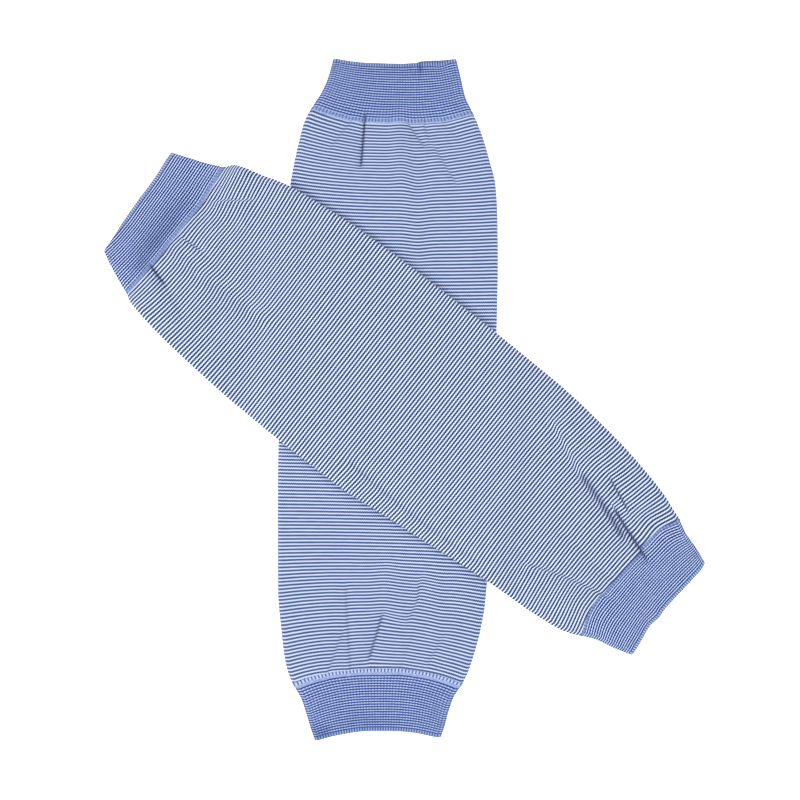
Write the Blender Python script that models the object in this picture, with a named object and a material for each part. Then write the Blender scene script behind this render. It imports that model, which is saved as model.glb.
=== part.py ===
"""A pair of knitted arm sleeves, laid flat, one across the other.

Each sleeve is a body, a tube of fine striped jersey, with a ribbed cuff joined to each end.
A tube lies flat: a bottom panel on the surface, a top panel over it, and a rounded fold down
each side. Every piece is a wall of cloth with an outer skin and an inner skin, open at both
ends. Lengths are in millimetres until the meshes are made, which are in metres.

X runs to the right and Y up the page as the sleeves are seen from above, with +Z up. The
origin is in the middle of the pair's footprint, on the surface that it lies on.

Along a sleeve, "along" is the distance from its first open edge, and "across" the distance
to the side of its axis. A row of stitches is named by its count of millimetres of knitting.
"""
import bpy
import math
import numpy as np

MM = 0.001

# The cloth and how a tube of it lies.
WALL = 1.2                 # thickness of the jersey, and of a cuff between its ribs
FOLD_RISE = 1.5            # half the thickness of a flat tube at its side fold
FOLD_REACH = 2.2           # how far the rounded fold stands out past the flat panels
RIB_COUNT = 100            # ribs around a cuff
RIB_HEIGHT = 0.35
SEAM_GAP = 0.3             # clearance where a cuff meets a body
REST_GAP = 0.32            # clearance where the upper sleeve lies on the lower one
LOFT_POWER = 6.0           # how squarely the top panel's loft falls to the folds
LEAST_GAP = 0.25           # the panels stay this far apart under the deepest fold
DIP_SOFTNESS = 0.4         # how gently a fold meets that limit
BOW_POWER = 2.6            # how squarely a row of stitches bows towards the sleeve's middle
PULL_SPREAD = 1.8          # a fold pulls the rows over this many times its own width
END_SPREAD = 1.2           # and fades past its ends over this many times that

# How the upper sleeve comes down beside the lower one.
DRAPE_FLAT = 3.5           # it stays level this far past the lower sleeve's fold
DRAPE_REACH = 21.0         # and it is down on the surface this far past the fold

# The middle of the pair's footprint, from the page's own middle.
LAYOUT_CENTRE = (2.7, 0.4)

# How finely the skins are divided.
PANEL_STEPS = 32           # across a top panel, but for a cuff's ribs
UNDERSIDE_STEPS = 6        # across a bottom panel
CUFF_ROWS = 4
NEAR_CUFF = (0.0, 5.0, 11.0, 18.0, 26.0, 35.0, 46.0)    # a body's rows, from its joins
FOLD_ANGLES = (60.0, 30.0, 0.0, -30.0, -60.0)           # degrees above level, round a fold
LOWEST_RIB_ANGLE = -30.0   # a rib at or below this would stand on the surface
RIBS_AT_FOLDS = 2          # of the upper half's ribs, those that lie on the rounded folds
QUARTER_TURN = 0.25        # from a side fold to the middle of a panel, as a share of the way round
FOLD_TURN = 0.015          # from the middle of a rounded fold to its panel
SHARP_ANGLE = 50.0         # degrees; edges sharper than this stay crisp


def table(names, *rows):
    """A table of numbers as one array for each named column."""
    return dict(zip(names.split(), np.array(rows, float).T))


# The lower sleeve lies down the page.
UNDER = dict(
    start=(-2.5, 189.2),   # where its axis begins, from the page's middle
    heading=-91.44,        # degrees, from +X
    rows=table(
        "count  left   middle right",
        (0.0, -0.8, 1.1, -1.1),
        (33.0, 27.9, 34.3, 28.5),
        (50.0, 47.4, 51.2, 46.0),
        (62.0, 60.4, 63.0, 58.8),
        (80.0, 79.6, 80.6, 77.6),
        (105.0, 105.4, 105.0, 102.6),
        (200.0, 201.2, 200.0, 198.8),
        (265.0, 265.9, 264.5, 264.3),
        (290.0, 291.8, 289.5, 290.4),
        (312.0, 315.0, 311.0, 313.4),
        (328.0, 332.7, 326.6, 330.9),
        (343.0, 349.7, 340.9, 347.4),
        (377.0, 380.2, 374.3, 377.0)),
    seams=(33.0, 343.0),
    middle_rows=7,         # of a body's rows, those farther from both cuffs
    cuff_first=table(
        "count  left  right",
        (0.0, 34.6, 33.7),
        (12.0, 37.0, 36.8),
        (23.0, 40.8, 39.4),
        (33.0, 46.6, 44.3)),
    body=table(
        "count  left  right",
        (33.0, 46.6, 44.3),
        (38.0, 49.5, 46.7),
        (46.0, 52.2, 50.1),
        (57.0, 54.7, 53.8),
        (70.0, 56.9, 57.6),
        (90.0, 58.9, 59.3),
        (130.0, 59.9, 60.3),
        (214.0, 60.1, 60.3),
        (280.0, 58.9, 58.8),
        (300.0, 58.0, 57.8),
        (315.0, 56.0, 55.5),
        (327.0, 54.2, 52.4),
        (336.0, 51.8, 49.2),
        (343.0, 48.4, 45.8)),
    cuff_last=table(
        "count  left  right",
        (343.0, 48.4, 45.8),
        (350.0, 43.9, 41.4),
        (360.0, 40.6, 38.5),
        (369.0, 38.0, 36.7),
        (377.0, 35.4, 34.6)),
    loft=table(
        "along  height",
        (0.0, 0.5),
        (30.0, 1.7),
        (50.0, 2.8),
        (74.0, 1.7),
        (104.0, 0.9),
        (200.0, 0.8),
        (276.0, 1.0),
        (310.0, 2.3),
        (334.0, 2.7),
        (350.0, 1.5),
        (378.0, 0.5)),
    folds=table(
        "along_from across_from along_to across_to width height pull",
        (28.0, -15.7, 60.0, -17.6, 4.6, -2.0, 1.6),
        (34.0, -24.0, 48.0, -34.0, 4.6, -1.1, 0.8),
        (30.0, 3.6, 66.0, 5.2, 6.0, 1.0, 0.0),
        (36.0, 8.5, 46.0, 16.0, 4.6, -1.0, 0.6),
        (49.0, 23.8, 65.0, 34.0, 4.6, -1.2, 0.8),
        (55.0, 17.0, 84.0, 23.0, 5.0, -1.0, 0.0),
        (34.0, 28.0, 44.0, 36.0, 4.6, -1.0, 0.6),
        (288.0, -20.0, 338.0, -15.0, 5.0, -1.1, -0.6),
        (318.0, -20.5, 337.0, -28.0, 4.6, -0.9, -0.5),
        (305.0, 2.4, 341.0, -6.4, 4.6, -1.9, -1.4),
        (293.0, 20.8, 318.0, 9.6, 5.0, -0.9, -0.6),
        (320.0, 17.3, 340.0, 10.8, 4.6, -0.9, -0.5),
        (322.0, 33.6, 334.0, 27.6, 4.6, -0.8, -0.5)))

# The upper sleeve lies across the lower one, down to the right.
OVER = dict(
    start=(-146.5, 111.0),
    heading=-37.55,
    rows=table(
        "count  left   middle right",
        (0.0, 1.5, -0.1, -2.1),
        (31.0, 26.5, 28.6, 26.4),
        (42.0, 36.2, 39.3, 33.6),
        (55.0, 50.2, 52.0, 46.2),
        (85.0, 81.6, 82.0, 76.8),
        (115.0, 114.1, 112.4, 109.2),
        (140.0, 139.5, 137.6, 135.2),
        (185.0, 185.2, 183.4, 181.0),
        (245.0, 247.0, 244.3, 243.7),
        (277.0, 279.2, 276.5, 278.9),
        (307.0, 310.2, 306.6, 312.0),
        (334.0, 338.0, 333.9, 341.0),
        (341.0, 344.3, 341.2, 348.4),
        (371.5, 373.5, 372.2, 375.2)),
    seams=(31.0, 341.0),
    middle_rows=13,
    cuff_first=table(
        "count  left  right",
        (0.0, 33.4, 32.9),
        (11.0, 37.7, 36.7),
        (21.0, 41.2, 40.3),
        (31.0, 44.6, 44.4)),
    body=table(
        "count  left  right",
        (31.0, 44.6, 44.4),
        (36.0, 47.3, 48.5),
        (43.0, 48.8, 50.9),
        (55.0, 51.2, 54.0),
        (70.0, 53.2, 58.1),
        (90.0, 55.1, 60.8),
        (115.0, 56.9, 63.1),
        (150.0, 57.7, 63.9),
        (185.0, 57.7, 63.9),
        (215.0, 55.1, 63.6),
        (245.0, 52.5, 62.8),
        (262.0, 50.8, 61.6),
        (277.0, 49.5, 59.7),
        (290.0, 48.8, 57.9),
        (305.0, 48.4, 55.0),
        (325.0, 46.6, 49.9),
        (335.0, 44.2, 46.0),
        (341.0, 41.5, 43.6)),
    cuff_last=table(
        "count  left  right",
        (341.0, 41.5, 43.6),
        (349.0, 38.0, 39.5),
        (360.0, 35.7, 36.5),
        (371.5, 32.5, 32.9)),
    loft=table(
        "along  height",
        (0.0, 0.6),
        (30.0, 1.7),
        (48.0, 2.6),
        (74.0, 1.8),
        (104.0, 0.9),
        (190.0, 0.8),
        (252.0, 1.2),
        (300.0, 2.6),
        (330.0, 2.9),
        (346.0, 1.6),
        (372.0, 0.6)),
    folds=table(
        "along_from across_from along_to across_to width height pull",
        (26.0, -22.8, 42.0, -31.6, 4.6, -1.9, 1.4),
        (42.0, -31.6, 70.0, -42.6, 4.6, -1.2, 0.8),
        (28.0, -18.8, 54.0, -21.6, 4.6, -1.0, 0.6),
        (34.0, -1.0, 70.0, -7.5, 5.0, -0.9, -0.5),
        (31.0, 26.0, 57.0, 39.8, 4.6, -0.9, 0.6),
        (21.5, -27.0, 23.5, 24.0, 4.6, -0.9, 0.0),
        (308.0, 36.4, 322.5, 29.7, 4.6, -1.2, -0.6),
        (264.0, 41.0, 328.0, 18.8, 4.6, -1.3, -1.0),
        (322.3, 24.3, 349.0, 13.6, 4.6, -1.9, -1.6),
        (303.0, -2.5, 337.0, -7.0, 4.6, -1.0, -0.5),
        (299.0, -27.2, 341.0, -16.2, 4.6, -0.9, 1.0),
        (184.0, -44.5, 272.0, -44.5, 5.0, -0.7, 0.0),
        (240.0, -24.0, 252.0, 26.0, 9.0, -0.5, 0.0)))


def smooth(x, y, at):
    """A curve through the points (x, y) that turns softly and never overshoots them."""
    at = np.clip(at, x[0], x[-1])
    step = np.diff(x)
    rise = np.diff(y) / step
    slope = np.zeros_like(y)
    same = rise[:-1] * rise[1:] > 0.0
    mean = 2.0 * rise[:-1] * rise[1:] / np.where(same, rise[:-1] + rise[1:], 1.0)
    slope[1:-1] = np.where(same, mean, 0.0)
    slope[0] = rise[0]
    slope[-1] = rise[-1]
    cell = np.clip(np.searchsorted(x, at, side="right") - 1, 0, len(step) - 1)
    t = (at - x[cell]) / step[cell]
    start = (1.0 + 2.0 * t) * (1.0 - t) ** 2 * y[cell] + t * (1.0 - t) ** 2 * step[cell] * slope[cell]
    end = t * t * (3.0 - 2.0 * t) * y[cell + 1] + t * t * (t - 1.0) * step[cell] * slope[cell + 1]
    return start + end


def ease(t):
    """0 to 1, level at both ends."""
    t = np.clip(t, 0.0, 1.0)
    return t * t * (3.0 - 2.0 * t)


def fold_weights(sleeve, along, across, spread_out):
    """How much each fold shapes a point: 1 on its line, fading to its sides and past its ends."""
    folds = sleeve["folds"]
    weights = []
    for i in range(len(folds["width"])):
        ax, ay = folds["along_from"][i], folds["across_from"][i]
        dx, dy = folds["along_to"][i] - ax, folds["across_to"][i] - ay
        length = math.hypot(dx, dy)
        travel = ((along - ax) * dx + (across - ay) * dy) / length
        aside = ((across - ay) * dx - (along - ax) * dy) / length
        beyond = np.maximum(np.maximum(-travel, travel - length), 0.0)
        width = folds["width"][i] * spread_out
        weights.append(np.exp(-(aside / width) ** 2 - (beyond / (END_SPREAD * width)) ** 2))
    return weights


def folded(sleeve, column, along, across):
    """The sum of one column of the sleeve's folds at a point."""
    values = sleeve["folds"][column]
    spread_out = PULL_SPREAD if column == "pull" else 1.0
    weights = fold_weights(sleeve, along, across, spread_out)
    return sum(v * w for v, w in zip(values, weights))


def on_page(sleeve, along, across):
    """A point of the sleeve in the shared frame."""
    turn = math.radians(sleeve["heading"])
    x = sleeve["start"][0] - LAYOUT_CENTRE[0] + along * math.cos(turn) - across * math.sin(turn)
    y = sleeve["start"][1] - LAYOUT_CENTRE[1] + along * math.sin(turn) + across * math.cos(turn)
    return x, y


def in_sleeve(sleeve, x, y):
    """A point of the shared frame in the sleeve's own along and across."""
    turn = math.radians(sleeve["heading"])
    dx = x + LAYOUT_CENTRE[0] - sleeve["start"][0]
    dy = y + LAYOUT_CENTRE[1] - sleeve["start"][1]
    return dx * math.cos(turn) + dy * math.sin(turn), dy * math.cos(turn) - dx * math.sin(turn)


def row_line(sleeve, count, share):
    """How far along the sleeve a row of stitches lies, share running from -1 to 1 across it."""
    rows = sleeve["rows"]
    left = smooth(rows["count"], rows["left"], count)
    middle = smooth(rows["count"], rows["middle"], count)
    right = smooth(rows["count"], rows["right"], count)
    tilt = 0.5 * (right - left) * share
    bow = (0.5 * (left + right) - middle) * np.abs(share) ** BOW_POWER
    return middle + tilt + bow


def edges(outline, count):
    """The two folds' distances from the axis where a row of stitches reaches them."""
    left = smooth(outline["count"], outline["left"], count)
    right = smooth(outline["count"], outline["right"], count)
    return -left, right


def loft(sleeve, along, share):
    """How far the top panel stands above the height of the side folds."""
    height = smooth(sleeve["loft"]["along"], sleeve["loft"]["height"], along)
    return height * (1.0 - np.clip(np.abs(share), 0.0, 1.0) ** LOFT_POWER)


def under_top(along, across):
    """The height of cloth drawn over the lower sleeve, and how far a point is past its folds."""
    low, high = edges(UNDER["body"], along)
    height = 2.0 * FOLD_RISE + loft(UNDER, along, 0.0)
    height = height + np.maximum(folded(UNDER, "height", along, across), 0.0)
    return height, np.maximum(across - high, low - across)


def rest_height(sleeve, x, y):
    """How high the sleeve's underside lies: on the surface, or on the lower sleeve."""
    if sleeve is UNDER:
        return np.zeros_like(x)
    along, across = in_sleeve(UNDER, x, y)
    height, past = under_top(along, across)
    return (height + REST_GAP) * (1.0 - ease((past - DRAPE_FLAT) / (DRAPE_REACH - DRAPE_FLAT)))


def skin_point(sleeve, outline, count, place, inset, rib):
    """A point of a tube's skin.

    place is (panel, share, angle): the top, bottom or fold that it is on, its share across
    the flat panels, and on a fold the angle above level. inset is how deep it lies inside
    the outer skin, and rib how far the rib's crest there stands out.
    """
    panel, share, angle = place
    low, high = edges(outline, count)
    centre = 0.5 * (low + high)
    half = 0.5 * (high - low)
    flat = half - FOLD_REACH
    lean = math.radians(angle)
    if panel == "fold":
        side = math.copysign(1.0, share)
        across = centre + side * (flat + (FOLD_REACH - inset + rib) * math.cos(lean))
        share = side
    else:
        across = centre + share * flat
    nominal = row_line(sleeve, count, share)
    along = nominal + folded(sleeve, "pull", nominal, across) * math.cos(0.5 * math.pi * share)
    x, y = on_page(sleeve, along, across)
    base = rest_height(sleeve, x, y)
    raised = loft(sleeve, along, share * flat / half)
    raised = raised + folded(sleeve, "height", along, across) * (1.0 - abs(share) ** LOFT_POWER)
    room = raised + 2.0 * (FOLD_RISE - WALL) - LEAST_GAP
    raised = raised + 0.5 * (math.hypot(room, DIP_SOFTNESS) - room)
    if panel == "top":
        z = base + 2.0 * FOLD_RISE + raised - inset + rib
    elif panel == "bottom":
        z = base + inset
    else:
        rise = FOLD_RISE - inset + (rib if angle > 0.0 else 0.0)
        z = base + FOLD_RISE + rise * math.sin(lean)
    return float(x) * MM, float(y) * MM, float(z) * MM


def turn_of(panel, share, angle):
    """How far round the tube a place is: from the left fold over the top panel, then back."""
    panel_turn = (QUARTER_TURN - FOLD_TURN) * share
    fold_turn = FOLD_TURN * math.radians(angle) / (0.5 * math.pi)
    if panel == "top":
        return QUARTER_TURN + panel_turn
    if panel == "bottom":
        return 3.0 * QUARTER_TURN - panel_turn
    if share > 0.0:
        return 2.0 * QUARTER_TURN - fold_turn
    return 4.0 * QUARTER_TURN + fold_turn


def ring(top_steps, ribbed):
    """The places around a tube, each with its turn and the height of its rib.

    With ribs, each second place is a crest, but for the underside, which lies on the surface.
    """
    places = []
    for i in range(top_steps + 1):
        places.append(("top", -1.0 + 2.0 * i / top_steps, 0.0, i % 2 == 1))
    for i, angle in enumerate(FOLD_ANGLES):
        places.append(("fold", 1.0, angle, i % 2 == 0 and angle > LOWEST_RIB_ANGLE))
    for i in range(UNDERSIDE_STEPS + 1):
        places.append(("bottom", 1.0 - 2.0 * i / UNDERSIDE_STEPS, 0.0, False))
    for i, angle in enumerate(reversed(FOLD_ANGLES)):
        places.append(("fold", -1.0, angle, i % 2 == 0 and angle > LOWEST_RIB_ANGLE))
    return [(turn_of(*place[:3]), place[:3], RIB_HEIGHT if ribbed and place[3] else 0.0)
            for place in places]


def bridge(faces, first, second, first_turn, second_turn):
    """Triangles between two closed rings of points, matched by their shares of a turn."""
    i, j = 0, 0
    while i < len(first) or j < len(second):
        a, b = first[i % len(first)], second[j % len(second)]
        next_first = first_turn[i + 1] if i + 1 < len(first) else 1.0 + first_turn[0]
        next_second = second_turn[j + 1] if j + 1 < len(second) else 1.0 + second_turn[0]
        if j >= len(second) or (i < len(first) and next_first <= next_second):
            faces.append((a, first[(i + 1) % len(first)], b))
            i += 1
        else:
            faces.append((a, second[(j + 1) % len(second)], b))
            j += 1


def tube(name, sleeve, outline, counts, outer_ring, inner_ring, material):
    """One knitted tube as a closed wall: outer skin, inner skin and the two raw edges."""
    points, faces = [], []
    skins = []
    for ring_here, inset in ((outer_ring, 0.0), (inner_ring, WALL)):
        rows = []
        for count in counts:
            first = len(points)
            for _, place, rib in ring_here:
                points.append(skin_point(sleeve, outline, count, place, inset, rib))
            rows.append(list(range(first, len(points))))
        skins.append(rows)
    for rows, outward in ((skins[0], True), (skins[1], False)):
        size = len(rows[0])
        for here, there in zip(rows[:-1], rows[1:]):
            for i in range(size):
                k = (i + 1) % size
                quad = (here[i], here[k], there[k], there[i])
                faces.append(quad[::-1] if outward else quad)
    outer_turn = [entry[0] for entry in outer_ring]
    inner_turn = [entry[0] for entry in inner_ring]
    ends = []
    bridge(ends, skins[0][0], skins[1][0], outer_turn, inner_turn)
    faces.extend(ends)
    ends = []
    bridge(ends, skins[0][-1], skins[1][-1], outer_turn, inner_turn)
    faces.extend(face[::-1] for face in ends)
    mesh = bpy.data.meshes.new(name)
    mesh.from_pydata(points, [], faces)
    mesh.validate()
    mesh.materials.append(material)
    mesh.shade_smooth()
    mesh.set_sharp_from_angle(angle=math.radians(SHARP_ANGLE))
    piece = bpy.data.objects.new(name, mesh)
    bpy.context.collection.objects.link(piece)
    return piece


def cloth(name, colour, roughness):
    """A Principled material for one kind of knitting."""
    material = bpy.data.materials.new(name)
    material.use_nodes = True
    shader = material.node_tree.nodes["Principled BSDF"]
    shader.inputs["Base Color"].default_value = (*colour, 1.0)
    shader.inputs["Roughness"].default_value = roughness
    shader.inputs["Metallic"].default_value = 0.0
    material.diffuse_color = (*colour, 1.0)
    return material


def spread(first, last, marks):
    """Row counts from first to last at the marks, which are shares of the way."""
    return [first + (last - first) * mark for mark in marks]


def build_sleeve(sleeve, body_name, first_name, last_name, jersey, rib):
    """One sleeve: its body between its two cuffs."""
    first_row, last_row = sleeve["rows"]["count"][[0, -1]]
    first_seam, last_seam = sleeve["seams"]
    half_gap = 0.5 * SEAM_GAP
    start, end = first_seam + half_gap, last_seam - half_gap
    middle = np.linspace(start + NEAR_CUFF[-1], end - NEAR_CUFF[-1], sleeve["middle_rows"] + 2)
    counts = [start + n for n in NEAR_CUFF[:-1]] + list(middle)
    counts = counts + [end - n for n in reversed(NEAR_CUFF[:-1])]
    plain = ring(PANEL_STEPS, False)
    tube(body_name, sleeve, sleeve["body"], counts, plain, plain, jersey)
    ribbed = ring(2 * (RIB_COUNT // 2 - RIBS_AT_FOLDS), True)
    first_counts = np.linspace(first_row, first_seam - half_gap, CUFF_ROWS)
    last_counts = np.linspace(last_seam + half_gap, last_row, CUFF_ROWS)
    tube(first_name, sleeve, sleeve["cuff_first"], first_counts, ribbed, plain, rib)
    tube(last_name, sleeve, sleeve["cuff_last"], last_counts, ribbed, plain, rib)


for leftover in list(bpy.data.objects):
    bpy.data.objects.remove(leftover, do_unlink=True)

STRIPED_JERSEY = cloth("striped_jersey", (0.319, 0.392, 0.578), 0.9)
RIBBED_KNIT = cloth("ribbed_knit", (0.198, 0.275, 0.533), 0.9)

build_sleeve(UNDER, "under_body", "under_cuff_top", "under_cuff_bottom", STRIPED_JERSEY,
             RIBBED_KNIT)
build_sleeve(OVER, "over_body", "over_cuff_left", "over_cuff_right", STRIPED_JERSEY,
             RIBBED_KNIT)
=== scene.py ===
"""A pair of knitted arm sleeves laid flat, one across the other: the visible cloth.

Each sleeve is a tube of striped jersey between two ribbed cuffs. The tubes follow the solids of
the frame: a flat underside, a rounded fold down each side and a top panel that is eased and
creased beside the cuffs. Sizes are in millimetres until a mesh is made. "Along" runs down a
sleeve from its first open edge, "across" to the side of its axis, and a row of stitches is named
by its count of millimetres of knitting.
"""
import math

import bpy
import numpy as np
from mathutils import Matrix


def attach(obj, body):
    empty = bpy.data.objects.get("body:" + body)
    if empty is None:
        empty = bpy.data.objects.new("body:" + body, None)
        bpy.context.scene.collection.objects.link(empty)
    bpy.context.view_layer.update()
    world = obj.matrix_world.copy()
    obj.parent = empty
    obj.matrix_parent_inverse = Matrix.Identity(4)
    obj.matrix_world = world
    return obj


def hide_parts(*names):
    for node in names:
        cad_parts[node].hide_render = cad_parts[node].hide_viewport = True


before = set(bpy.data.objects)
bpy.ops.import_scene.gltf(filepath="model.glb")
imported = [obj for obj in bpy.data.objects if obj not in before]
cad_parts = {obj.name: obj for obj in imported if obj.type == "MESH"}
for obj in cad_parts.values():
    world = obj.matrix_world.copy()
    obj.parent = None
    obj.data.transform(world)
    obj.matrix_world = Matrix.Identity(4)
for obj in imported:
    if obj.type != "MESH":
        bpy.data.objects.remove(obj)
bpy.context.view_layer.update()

MM = 0.001

# How a tube lies, as the solids have it.
WALL = 1.0                 # of the visible cloth, which lies within the solids' wall
FOLD_RISE = 1.5            # half the thickness of a flat tube at its side fold
FOLD_REACH = 2.2           # how far the rounded fold stands out past the flat panels
QUARTER_ARC = 2.96         # the cloth in half of a rounded fold
SEAM_GAP = 0.3             # between a cuff and a body
REST_GAP = 0.32            # between the sleeves
LEAST_GAP = 0.25           # the panels stay this far apart under the deepest fold
DIP_SOFTNESS = 0.4         # how gently a fold meets that limit
LOFT_POWER = 6.0           # how squarely the top panel's loft falls to the folds
BOW_POWER = 2.6            # how squarely a row of stitches bows
RIM_REACH = 7.0            # the open edge's waves fade out over this much of a cuff
DRAPE_FLAT = 3.5           # the upper sleeve stays level this far past the lower one's fold
DRAPE_REACH = 21.0         # and it is down on the surface this far past the fold
LAYOUT_CENTRE = (2.7, 0.4)  # the shared frame's origin, from the middle of the photograph

# The creases.
FOLD_END = 1.2             # a fold fades past its ends over this many times its width
LINE_END = 2.0             # and its line, a groove with painted shade in it, over this far
LINE_DEPTH = 0.6           # how deep the darkest line is
SHIFT_POWER = 8            # how squarely the rows' shift falls to nothing at the side folds
UNDER_SHARE = 0.5          # the underside's folds, as a share of the top's
DEEPEST_DENT = 0.5         # of the underside

# The ribs and the linking.
RIB_COUNT = 100
RIB_HEIGHT = 0.42
RIB_SHARPNESS = 0.75       # below 1, rounder crests and sharper grooves
RIB_AT_JOIN = 0.25         # a rib's height beside the linking, as a share of all of it
RIB_FADE = 1.8             # how far a rib takes to rise from that to its full height
LINK_REACH = 1.7           # the linking reaches no farther than this to either side
LINK_LIFT = 0.08           # its outer skin lies this far above the cloth's
LINK_BACK = 0.02           # and its inner skin this far
LINK_EDGE = 0.10           # its relief at its edges
LINK_DOME = 0.06           # more in its middle, between two stitches
LINK_STITCH = 0.14         # and more again on a stitch
LINK_SQUARENESS = 0.6      # below 1, steeper edges and a flatter middle
SEAM_EASE = (1.6, 5.6)     # from a seam: as far as the underside stays lifted, and back down

# The knit.
WALES = 200                # columns of stitches round a body
PAIR_PITCH = 1.897         # one blue and one white course of the body
CORNER_START = 0.3         # from here to the left end, a cuff's rows may run over the open edge
CORNER_POWER = 1.5

# How finely the skins are made: points round a tube, and the length of a row of faces.
BODY_TOP = 200
BODY_UNDER = 60
BODY_INNER = 60
BODY_INNER_UNDER = 20
BODY_INNER_ROWS = 61
BODY_ROW = 1.05
RIB_POINTS = 6             # for each rib
CUFF_ROW = 0.75
CUFF_INNER_ROWS = 13
LINK_ROWS = 9
LINK_INNER_ROWS = 3


def table(names, *rows):
    """A table of numbers as one array for each named column."""
    return dict(zip(names.split(), np.array(rows, float).T))


# A fold runs from (a0, c0) to (a1, c1), along and across, with a bend halfway. It is a trough or a
# ridge of its width and height; rows bulge by bump over it and jump by step across it, of which
# the share low is on the near side, within edge, fading over reach. dark is how deep a groove its
# line is and how much painted shade lies along it, and line how wide.
FOLD_COLUMNS = "a0 c0 a1 c1 bend width height bump step low edge reach dark line"
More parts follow.
